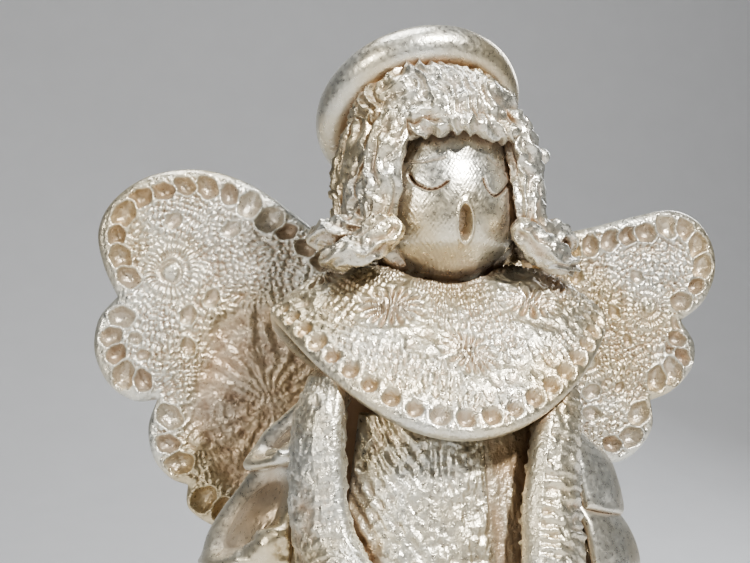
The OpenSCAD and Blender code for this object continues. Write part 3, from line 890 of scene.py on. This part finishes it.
def make_side_locks(name, turn, lean, seed):
    """Five hanging locks and two shoulder rolls; turn is -1 on the left side and 1 on the right."""
    rolls = []
    for i in range(5):
        over = 7 if turn < 0 and i == 0 else 0
        start = 53 if turn > 0 and i == 0 else 50 + 17 * i
        corners = [(18.2 - lean, 212, over), (22.0 - lean, 206, turn * 2 + over),
                   (23.8 - lean, 195, turn * 4 + over / 2), (24.9 - lean, 184, turn * 2),
                   (28 - 0.6 * lean, 177.5, turn * 6)]
        rolls.append(lock(turn * start, corners, 3.9, pleats, seed + 11 * i, sides=80, steps=140))
    t = np.linspace(0, 1, 110)
    swell = np.sin(np.radians(35 + 120 * t))
    for path, wide, up, folds, step in SHOULDER_ROLLS:
        line = spline(np.array(path) * np.array([turn, 1, 1]), t)
        rolls.append(roll_out(line, wide * swell, 3.6 * swell, lambda p: np.broadcast_to(up, p.shape), 84,
                              folds, seed + step))
    return merged(name, rolls)


def make_back_locks():
    rolls = []
    corners = [(21.0, 191, 0), (23.6, 187, 3), (23.6, 180, -3), (25, 176.2, 2)]
    for i in range(6):
        rolls.append(lock(142 + 15.2 * i, corners, 3.3, rumples, 300 + 11 * i, sides=48, steps=60))
    return merged("locks_back_folds", rolls)


def make_fringe():
    angle = np.linspace(-54, 54, 10)
    reach = 20.4 + 0.6 * np.cos(np.radians(9 * angle))
    t = np.linspace(0, 1, 150)
    line = spline(round_head(angle, reach, 206.0 + 0.8 * np.cos(np.radians(5 * angle))), t)
    swell = np.sin(np.radians(20 + 140 * t))
    roll = roll_out(line, 2.5 * (0.5 + 0.5 * swell), 2.2 * (0.6 + 0.4 * swell), from_head, 64, curls, 400)
    return merged("fringe_folds", [roll])


def make_temple_curl():
    centre = round_head(70, 25.2, 201.5)
    azimuth = circle(64)
    polar = np.radians(np.linspace(-86, 86, 40))
    a, e = table(azimuth, polar)
    ball = np.stack([np.cos(e) * np.cos(a), np.cos(e) * np.sin(a), np.sin(e)], -1)
    r = 2.15 + 0.12 * noise(ball * 2.2, 1.6, 7) + 0.05 * noise(ball * 2.2, 0.6, 8)
    return closed_piece("temple_curl_ball", centre + ball * r[..., None])


def make_hair_cap():
    azimuth = circle(120)
    polar = np.radians(np.linspace(-50, 88, 70))
    a, e = table(azimuth, polar)
    r = (HEAD_R + CAP_T) * np.cos(e) * (1 - 0.05 * np.sin(e))
    z = (HEAD_H + CAP_T) * np.sin(e)
    # Over the face the cap dips behind the head's surface.
    front = smooth((np.cos(a) - 0.05) / 0.3) * smooth((17.5 - z) / 3)
    local = np.stack([r * np.sin(a), -r * np.cos(a), z], -1)
    local *= (1 - 0.24 * front)[..., None]
    fold = crumple(local, 4.0, 500)
    local += unit(local) * (0.25 * fold * (1 - front))[..., None]
    # Painted shade, tan, where the crumples sink.
    return closed_piece("hair_cap_layer", local @ HEAD_TURN.T + HEAD_AT, np.clip(-fold, 0, 1))


# ---------------- dress


def facing_out(grid, *maps):
    """Reverses a grid whose normals point at the body's axis, with the maps that go with it."""
    away = grid - np.array([0.0, BODY_Y, 0.0])
    away[..., 2] = 0
    if (grid_normals(grid) * away).sum(-1).mean() < 0:
        return (grid[::-1],) + tuple(m[::-1] for m in maps)
    return (grid,) + maps


def panel_lace(u, z, place, seed, busy):
    """Pressed lace on a dress panel: knotted rows, with a band of slanting ridges on one side."""
    knots = 0.6 * net(u, z, seed, 1.75) + 0.35 * crumple(place, 2.8, seed + 9)
    bend = 2.6 * noise(place, 7.0, seed + 6)
    slant = 0.22 * np.cos(2 * math.pi * (0.75 * u + 0.66 * z) / 2.8 + bend)
    slant = slant + 0.4 * crumple(place, 2.6, seed + 7)
    lift = mix(knots, slant, busy)
    # Beside the sleeve the cloth gives way to a plain strip with long scratches, past an upright crease; the
    # strip is sunk, so it takes painted shade.
    streaks = 0.3 * noise(place * np.array([1, 1, 0.12]), 0.9, seed + 10) + 0.2 * noise(place, 3.0, seed + 11)
    lift = mix(lift, streaks - 0.5, smooth((u - 3.9) / 0.8) * smooth((z - 70) / 10))
    return lift + 0.4 * noise(place, 9.0, seed + 8)


def make_panel(name, middle, spread, z_top, seed, pitch):
    """A dress panel round the angle middle; spread is its half angle at the chest and lower down."""
    rows = spaced(z_top - PANEL_LOW, pitch, SLAB / 2)
    half_width = 46.0 * math.radians(spread[1])
    columns = spaced(2 * half_width, pitch, SLAB / 2)
    u, v = table(columns, rows)
    z = mix(z_top, PANEL_LOW, v)
    half = mix(spread[0], spread[1], smooth((112 - z) / 24))
    tuck = (SLAB + GAP) * smooth((HEM_TOP + 14 - z) / 14)
    angle = middle + mix(half, -half, u)
    grid = on_body(z, angle, GAP + SLAB / 2 + tuck)
    across = np.radians(angle - middle) * 38.0
    busy = smooth((-across - 9) / 4) * smooth((z - 60) / 20)
    lift = panel_lace(across, z, grid, seed, busy)
    # Painted shade, tan, in the grooves.
    return sheet_piece(name, grid, SLAB, lift, lace_hollow(lift), 1.5)


def make_hem():
    turn = -np.linspace(0, 360, 416, endpoint=False)
    u, v = table(turn, spaced(26.0, 0.8, 1.2))
    z = mix(HEM_TOP, 0.7, v)
    pleat = np.cos(np.radians(HEM_PLEATS * u))
    grid = on_body(z, u, 2.26 + 2 * v + 1.1 * v * (1 - pleat))
    lift = 0.3 * noise(grid, 3.0, 610) + 0.15 * net(np.radians(u) * 50, z, 611)
    # Painted shade, tan, in the valleys of the pleats, stronger lower down.
    crease = np.clip(pleat, 0, 1) * v
    return sheet_piece("hem_pleats", grid, 2.5, lift, 0.5 * crease, 1.2, loop_u=True)


# The folds of the left side, then the right, from the top down: heights, bulge and front end in degrees.
# SWAG_START is the share of its bulge that a left fold has at its top.
SWAG_TOP = [[143, 128, 107, 84, 60], [137, 121, 106, 84, 59]]
SWAG_LOW = [[126, 103, 79, 55, 30], [115, 101, 79, 54, 29]]
SWAG_BULGE = [[12, 18, 18, 15, 11], [7, 8, 9, 9, 8.5]]
SWAG_START = [0, 0.55, 0.8, 0.8, 0.8]
SWAG_FRONT = [[72, 72, 72, 72, 72], [53, 51, 66, 72, 72]]
SWAG_T = SLAB * 0.85


def swag_at(u, v, side, k):
    """A point on a fold's inner face: v runs down it and u along it, from the back on the left side."""
    turn = 1 if side else -1
    sway = np.sin(np.radians(180 * u))
    z = mix(SWAG_TOP[side][k], SWAG_LOW[side][k] - 3 * sway, v)
    hang = np.sin(np.radians(115 * v)) if side else mix(SWAG_START[k], 1, v**0.85)
    belly = SWAG_BULGE[side][k] * np.maximum(sway, 0) ** 0.7 * hang
    angle = turn * mix(128, SWAG_FRONT[side][k], 1 - u if side else u)
    return on_body(z, angle, GAP + (SLAB + GAP) * smooth(v * 1.6) + belly)


def make_swag(name, side, k):
    drop = SWAG_TOP[side][k] - SWAG_LOW[side][k] + 8
    u, v = table(mix(0.012, 0.988, spaced(52.0, 0.75, SWAG_T / 2)), spaced(drop, 0.6, SWAG_T / 2))
    grid, u, v = facing_out(swag_at(u, v, side, k), u, v)
    grid = grid + grid_normals(grid) * SWAG_T / 2
    seed = 700 + 50 * side + 7 * k
    folds = 0.5 * noise(grid, 6.0, seed) + 0.05 * noise(grid, 2.0, seed + 4)
    # Painted shade, tan, in the low folds.
    hollow = 0.25 * np.clip(-folds, 0, 1)
    if not side:
        # The part that faces forward is dished between glossy rolled rims, with gathers towards the sleeve,
        # and the dish takes painted shade.
        dish = smooth(1.6 * (1 - ((u - 0.74) / 0.25) ** 2 - ((v - 0.52) / 0.45) ** 2))
        gathers = smooth((u - 0.7) / 0.2) * smooth((v - 0.45) / 0.4)
        grid = grid - grid_normals(grid) * (3.8 * dish)[..., None]
        folds = folds + 1.3 * gathers * crumple(grid * np.array([1, 1, 0.7]), 4.2, seed + 9)
        hollow = np.maximum(hollow, 0.6 * dish * (1 - 0.5 * gathers))
    folds = folds * smooth((1 - v) * drop / 3.0)
    return sheet_piece(name + "_fold", grid, SWAG_T, folds, hollow, SWAG_T / 2)


# Where each arm's middle line goes, from below the shoulder to the wrist
ARMS = {
    -1: [(-33, -22, 137), (-34, -24, 121), (-31.8, -27, 106), (-26, -37, 95.5), (-17.5, -46, 89),
         (-11, -52, 86)],
    1: [(24, -21, 146), (20.8, -28.5, 133), (18.6, -32.3, 121), (17.2, -35.5, 108), (15.5, -42, 97),
        (13, -48, 90.5), (11, -52, 86)],
}


def arm_line(side, steps):
    top = [on_body(158.0, side * 66.0, 3.5)]
    if side < 0:
        top.append(on_body(147.0, -58.0, 8.0))
    return spline(np.concatenate([top, ARMS[side]]), np.linspace(0, 1, steps))


def make_sleeve(side, name):
    steps = 190
    t = np.linspace(0, 1, steps)
    line = arm_line(side, steps)
    wide = mix(6, 8.4, smooth(t * 1.6))
    thick = mix(4.2, 6.4, t)

    def relief(turn, run, grid, seed):
        # The slab's cut edge runs down the inner side as a smooth strip; the rest is pressed lace.
        middle = math.radians(172 if side < 0 else 6)
        strip = smooth((np.cos(turn - middle) - math.cos(math.radians(30 if side > 0 else 18))) / 0.03)
        soft = 0.5 * noise(grid, 9.0, seed + 2)
        if side > 0:
            wave = 2 * math.pi * run / 2.9 + 2.4 * noise(grid, 5.0, seed)
            ribs = 0.55 * np.cos(wave) * (0.6 + 0.6 * noise(grid, 3.0, seed + 3))
            lace = ribs + 0.45 * crumple(grid, 2.6, seed + 1)
        else:
            lace = 0.4 * crumple(grid, 2.6, seed + 1) + 0.25 * net(turn * 8.0, run, seed, 1.6)
        return mix(lace, 0.35 + 0.1 * noise(grid, 3.0, seed + 5), strip) + soft

    def from_body(points):
        return (points - np.array([0, BODY_Y, 0])) * np.array([1, 1, 0])

    return merged(name, [roll_out(line, wide, thick, from_body, 120, relief, 800 + side)])


def make_hand(side, name):
    path = [[8.2, -53.6, 85.2], [6.0, -55.2, 87.4], [3.9, -56.5, 90], [3.1, -57.3, 95.5], [2.4, -58, 101.6]]
    t = np.linspace(0, 1, 70)
    line = spline(path, t)
    size = np.interp(t, [0, 0.5, 1], [3.3, 3.6, 2.0])
    size *= np.sqrt(1 - np.clip((t - 0.86) / 0.15, 0, 0.97) ** 2)
    size *= np.sqrt(np.clip(1 - np.clip((0.1 - t) / 0.11, 0, 1) ** 2, 0.02, 1))

    def relief(turn, run, grid, seed):
        fingers = -0.3 * np.exp(-((np.sin(2.5 * turn)) / 0.35) ** 2) * smooth((run - 6) / 3)
        return fingers + 0.08 * noise(grid, 1.2, seed)

    grid, hollow = roll_out(line, size, size, lambda p: np.array([0.0, -1.0, 0.2]) + 0 * p, 56, relief, 830)
    grid[..., 0] = np.maximum(grid[..., 0], 0.08)
    grid = grid * np.array([side, 1, 1])
    return merged(name, [(grid, hollow)])


def make_base():
    azimuth = circle(240)
    half_w, half_d, tall, edge = BODY_W, BODY_D, 5.0, 1.2
    bend = np.radians(np.linspace(0, 90, 7))
    # Each ring has a scale of the whole outline, a growth beyond it in mm and a height.
    rows = [(s, 0.0, 0.0) for s in np.linspace(0.05, 0.9, 8)]
    rows += [(1.0, -edge * (1 - math.sin(b)), edge * (1 - math.cos(b))) for b in bend]
    rows += [(1.0, -edge * (1 - math.cos(b)), tall - edge * (1 - math.sin(b))) for b in bend]
    rows += [(s, 0.0, tall) for s in np.linspace(0.9, 0.05, 8)]
    rings = []
    for scale, grow, z in rows:
        x = (half_w * scale + grow) * np.sin(azimuth)
        y = BODY_Y - (half_d * scale + grow) * np.cos(azimuth)
        rings.append(np.stack([x, y, np.full(len(azimuth), z)], -1))
    grid = np.stack(rings, 1)
    side = (grid[..., 2] > 1) & (grid[..., 2] < tall - 0.5)
    grid[..., 0] -= np.sin(azimuth)[:, None] * side * (0.25 + 0.25 * noise(grid, 4.0, 900))
    return closed_piece("base_plate_disc", grid)


def make_neck():
    azimuth = circle(120)
    low, high = 166.3, 172.5
    a, z = table(azimuth, np.linspace(low, high, 24))
    r = mix(8.5, 7.6, (z - low) / (high - low)) - 0.22 - 0.1 * noise(np.stack([a * 8, z], -1), 2.0, 910)
    return closed_piece("neck_roll", np.stack([r * np.sin(a), -r * np.cos(a), z], -1))


def make_wing_pad():
    low, high = (np.array(corner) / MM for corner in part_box("wing_pad"))
    azimuth = circle(160)
    middle = (low + high) / 2
    half = (high - low) / 2
    a, y = table(azimuth, np.linspace(high[1] - 0.1, high[1] - 8.0, 24))
    power = 0.35
    x = middle[0] + (half[0] - 0.2) * np.sign(np.cos(a)) * np.abs(np.cos(a)) ** power
    z = middle[2] + (half[2] - 0.2) * np.sign(np.sin(a)) * np.abs(np.sin(a)) ** power
    grid = np.stack([x, y, z], -1)
    inward = unit(grid - middle) * np.array([1, 0, 1])
    grid = grid - inward * (0.2 + 0.2 * noise(grid, 5.0, 920))[..., None]
    return closed_piece("wing_pad_block", grid)


# ---------------- finishes

# SHADE is the tan of the painted shade, also lent to the faint random specks; the dark brown after it is
# painted shade for the deepest lines.
PEARL = (0.66, 0.628, 0.515)
SHADE = (0.36, 0.225, 0.125)
DEEP_SHADE = (0.14, 0.08, 0.045)
SILVER = tuple(c * k for c, k in zip(PEARL, (1.06, 1.10, 1.22)))
GOLD = tuple(c * k for c, k in zip(PEARL, (0.98, 0.90, 0.78)))
METAL = 0.85


class Shader:
    """Builds one material's nodes step by step."""

    def __init__(self, name):
        self.material = bpy.data.materials.new(name)
        self.material.use_nodes = True
        self.tree = self.material.node_tree
        self.tree.nodes.clear()
        self.out = self.tree.nodes.new("ShaderNodeOutputMaterial")
        self.skin = self.tree.nodes.new("ShaderNodeBsdfPrincipled")
        self.link(self.skin.outputs["BSDF"], self.out.inputs["Surface"])

    def link(self, a, b):
        self.tree.links.new(a, b)

    def fill(self, n, **values):
        for key, value in values.items():
            n.inputs[key.replace("_", " ")].default_value = value
        return n

    def node(self, kind, settings=None, **values):
        n = self.tree.nodes.new(kind)
        for key, value in (settings or {}).items():
            setattr(n, key, value)
        return self.fill(n, **values)

    def noise(self, scale, detail, where):
        n = self.node("ShaderNodeTexNoise", Scale=scale, Detail=detail)
        self.link(where, n.inputs["Vector"])
        return n.outputs["Fac"]

    def spread(self, value, low, high, to_low=0.0, to_high=1.0):
        n = self.node("ShaderNodeMapRange", {"clamp": True})
        self.link(value, n.inputs["Value"])
        for key, v in zip(("From Min", "From Max", "To Min", "To Max"), (low, high, to_low, to_high)):
            n.inputs[key].default_value = v
        return n.outputs["Result"]

    def mixed(self, factor, a, b):
        n = self.node("ShaderNodeMix", {"data_type": "RGBA"})
        if isinstance(factor, float):
            n.inputs["Factor"].default_value = factor
        else:
            self.link(factor, n.inputs["Factor"])
        for key, value in ((6, a), (7, b)):
            if isinstance(value, tuple):
                n.inputs[key].default_value = value + (1.0,)
            else:
                self.link(value, n.inputs[key])
        return n.outputs[2]

    def maths(self, operation, a, b):
        n = self.node("ShaderNodeMath", {"operation": operation, "use_clamp": True})
        for k, value in enumerate((a, b)):
            if isinstance(value, float):
                n.inputs[k].default_value = value
            else:
                self.link(value, n.inputs[k])
        return n.outputs[0]


def pearl(name, rough=0.33, grain=1.0, cavity=0.006):
    """Pearl paint with painted shade, tan in the hollows and dark brown in the deepest lines; cavity, in
    metres, is how near their walls are.
    """
    s = Shader(name)
    where = s.node("ShaderNodeTexCoord").outputs["Object"]
    depth = s.node("ShaderNodeAttribute", {"attribute_name": "hollow"}).outputs["Fac"]
    # Ambient occlusion paints shade, tan, where walls close in.
    around = s.node("ShaderNodeAmbientOcclusion", {"samples": 8}, Distance=cavity)
    closed = s.spread(around.outputs["AO"], 0.2, 0.85, 1.0, 0.0)
    # Noise makes the painted shade stronger in some places and weaker in others.
    patchy = s.spread(s.noise(90.0, 3.0, where), 0.35, 0.65, 0.8, 1.2)
    sunk = s.maths("MAXIMUM", s.maths("MULTIPLY", depth, 0.85), s.maths("MULTIPLY", closed, 0.85))
    tan = s.maths("MULTIPLY", sunk, patchy)
    tint = s.mixed(s.spread(s.noise(38.0, 3.0, where), 0.38, 0.64), SILVER, GOLD)
    speck = s.mixed(s.spread(s.noise(1500.0, 2.0, where), 0.45, 0.7), tint, SHADE)
    tint = s.mixed(0.1, tint, speck)
    colour = s.mixed(tan, tint, SHADE)
    # Dark brown painted shade in the deepest lines and in the mouth.
    colour = s.mixed(s.spread(depth, 0.7, 0.95), colour, DEEP_SHADE)
    s.link(colour, s.skin.inputs["Base Color"])
    s.link(s.spread(tan, 0.1, 0.8, METAL, METAL * 0.35), s.skin.inputs["Metallic"])
    mica = s.noise(800.0, 3.0, where)
    s.link(s.spread(mica, 0.3, 0.7, rough - 0.1, rough + 0.16), s.skin.inputs["Roughness"])
    s.fill(s.skin, Coat_Weight=0.2, Coat_Roughness=0.25, Sheen_Weight=0.08)
    fine = s.node("ShaderNodeBump", Strength=0.3 * grain, Distance=0.00025)
    s.link(s.noise(2600.0, 2.0, where), fine.inputs["Height"])
    broad = s.node("ShaderNodeBump", Strength=0.5 * grain, Distance=0.0008)
    s.link(s.noise(750.0, 3.0, where), broad.inputs["Height"])
    s.link(fine.outputs["Normal"], broad.inputs["Normal"])
    s.link(broad.outputs["Normal"], s.skin.inputs["Normal"])
    return s.material


def plain(name, colour, rough, metal=0.0, scale=400.0, contrast=0.1):
    s = Shader(name)
    where = s.node("ShaderNodeTexCoord").outputs["Object"]
    fac = s.spread(s.noise(scale, 3.0, where), 0.3, 0.7)
    s.link(s.mixed(fac, colour, tuple(c * (1 - contrast) for c in colour)), s.skin.inputs["Base Color"])
    s.fill(s.skin, Metallic=metal, Roughness=rough)
    bump = s.node("ShaderNodeBump", Strength=0.2, Distance=0.0004)
    s.link(s.noise(scale * 2, 2.0, where), bump.inputs["Height"])
    s.link(bump.outputs["Normal"], s.skin.inputs["Normal"])
    return s.material


# ---------------- putting it together


def add(piece, node, material):
    piece.data.materials.append(material)
    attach(piece, "root")
    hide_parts(node)


def build_figure():
    lace = pearl("pearl_lace_paint")
    still = pearl("pearl_smooth_paint", rough=0.32, grain=0.4)
    face = pearl("pearl_face_paint", rough=0.31, grain=0.4, cavity=0.003)
    hair = pearl("pearl_hair_paint", rough=0.29, grain=0.8)
    swags = {("swag_left_", "swag_right_")[side] + str(k + 1): (side, k) for side in (0, 1) for k in range(5)}
    figure = [
        ("pearl_lace", lace, {name: make_wing(name) for name in WINGS}),
        ("pearl_lace", lace, {
            "collar": make_collar(),
            "front_panel": make_panel("front_panel_lace", 0, (50, 66), 138.0, 600, 0.68),
            "back_panel": make_panel("back_panel_lace", 180, (47, 50), 146.0, 640, 1.0),
            "sleeve_left": make_sleeve(-1, "sleeve_left_roll"),
            "sleeve_right": make_sleeve(1, "sleeve_right_roll"),
            "hem_ruffle": make_hem(),
            "base_plate": make_base(),
        }),
        ("pearl_smooth", still, {name: make_swag(name, *place) for name, place in swags.items()}),
        ("pearl_smooth", still, {
            "hand_left": make_hand(-1, "hand_left_clay"),
            "hand_right": make_hand(1, "hand_right_clay"),
            "neck": make_neck(),
        }),
        ("pearl_smooth", face, {"head": make_head()}),
        ("pearl_smooth", still, {"halo": make_halo(), "wing_pad": make_wing_pad()}),
        ("pearl_hair", hair, {
            "hair_cap": make_hair_cap(),
            "hair_crown": make_crown(),
            "fringe": make_fringe(),
            "locks_left": make_side_locks("locks_left_folds", -1, 0.0, 200),
            "locks_right": make_side_locks("locks_right_folds", 1, 1.6, 260),
            "locks_back": make_back_locks(),
            "temple_curl": make_temple_curl(),
        }),
    ]
    for slot_name, material, pieces in figure:
        for node, piece in pieces.items():
            add(piece, node, material)


def paint_hidden():
    """Finishes for the CAD nodes that stay: the core, the dowel and the wires."""
    finishes = {
        "body_core": plain("raw_resin_skin", (0.62, 0.44, 0.30), 0.6),
        "neck_dowel": plain("birch_wood", (0.72, 0.56, 0.38), 0.55, scale=250.0, contrast=0.25),
        "halo_pins": plain("steel_wire_metal", (0.55, 0.55, 0.56), 0.3, metal=1.0),
    }
    finishes["wing_pins"] = finishes["halo_pins"]
    for node, material in finishes.items():
        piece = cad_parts[node]
        if not piece.material_slots:
            piece.data.materials.append(material)
        for held in piece.material_slots:
            held.material = material


def make_stage():
    """A pale floor that curves up into a backdrop."""
    width, front, back, tall, bend = 6.0, -1.6, 1.3, 3.2, 0.7  # metres
    profile = [(front, 0.0), (back - bend, 0.0)]
    for a in np.linspace(0, math.pi / 2, 13)[1:]:
        profile.append((back - bend + bend * math.sin(a), bend - bend * math.cos(a)))
    profile.append((back, tall))
    points = [(x, y, z) for x in (-width / 2, width / 2) for y, z in profile]
    n = len(profile)
    mesh = bpy.data.meshes.new("backdrop")
    mesh.from_pydata(points, [], [(i, i + n, i + n + 1, i + 1) for i in range(n - 1)])
    mesh.shade_smooth()
    floor = new_object("backdrop", mesh)
    mesh.materials.append(plain("paper", (0.80, 0.80, 0.81), 0.85, scale=30.0, contrast=0.02))


def lamp(name, place, target, size, watts, colour):
    data = bpy.data.lights.new(name, "AREA")
    data.shape = "DISK"
    data.size = size
    data.energy = watts
    data.color = colour
    light = new_object(name, data)
    light.location = place
    light.rotation_euler = (Vector(target) - Vector(place)).to_track_quat("-Z", "Y").to_euler()


def light_scene():
    chest = (0.0, 0.0, 0.16)
    lamp("key", (0.22, -0.62, 0.70), chest, 0.08, 7.8, (1.0, 0.99, 0.96))
    lamp("front", (-0.70, -0.60, 0.45), chest, 0.22, 2.6, (1.0, 0.96, 0.88))
    lamp("top", (-0.15, 0.05, 1.0), chest, 0.5, 3.6, (0.96, 0.98, 1.0))
    lamp("rim", (0.55, 0.65, 0.6), chest, 0.4, 2.0, (0.93, 0.96, 1.0))
    world = bpy.data.worlds.new("room")
    world.use_nodes = True
    sky = world.node_tree.nodes["Background"]
    sky.inputs["Color"].default_value = (0.80, 0.84, 0.90, 1)
    sky.inputs["Strength"].default_value = 0.09
    bpy.context.scene.world = world
    bpy.context.scene.view_settings.look = "AgX - High Contrast"


def aim_camera():
    """The photograph's view: from a little to the figure's right and below its chest, tipped up."""
    data = bpy.data.cameras.new("camera")
    data.sensor_width = 36.0
    data.lens = 61.06
    data.dof.use_dof = False
    camera = new_object("camera", data)
    camera.location = (-0.0774, -0.3105, 0.141)
    camera.rotation_euler = (math.radians(90 + 5.289), 0, math.radians(-11.18))
    bpy.context.scene.camera = camera


build_figure()
paint_hidden()
make_stage()
light_scene()
aim_camera()
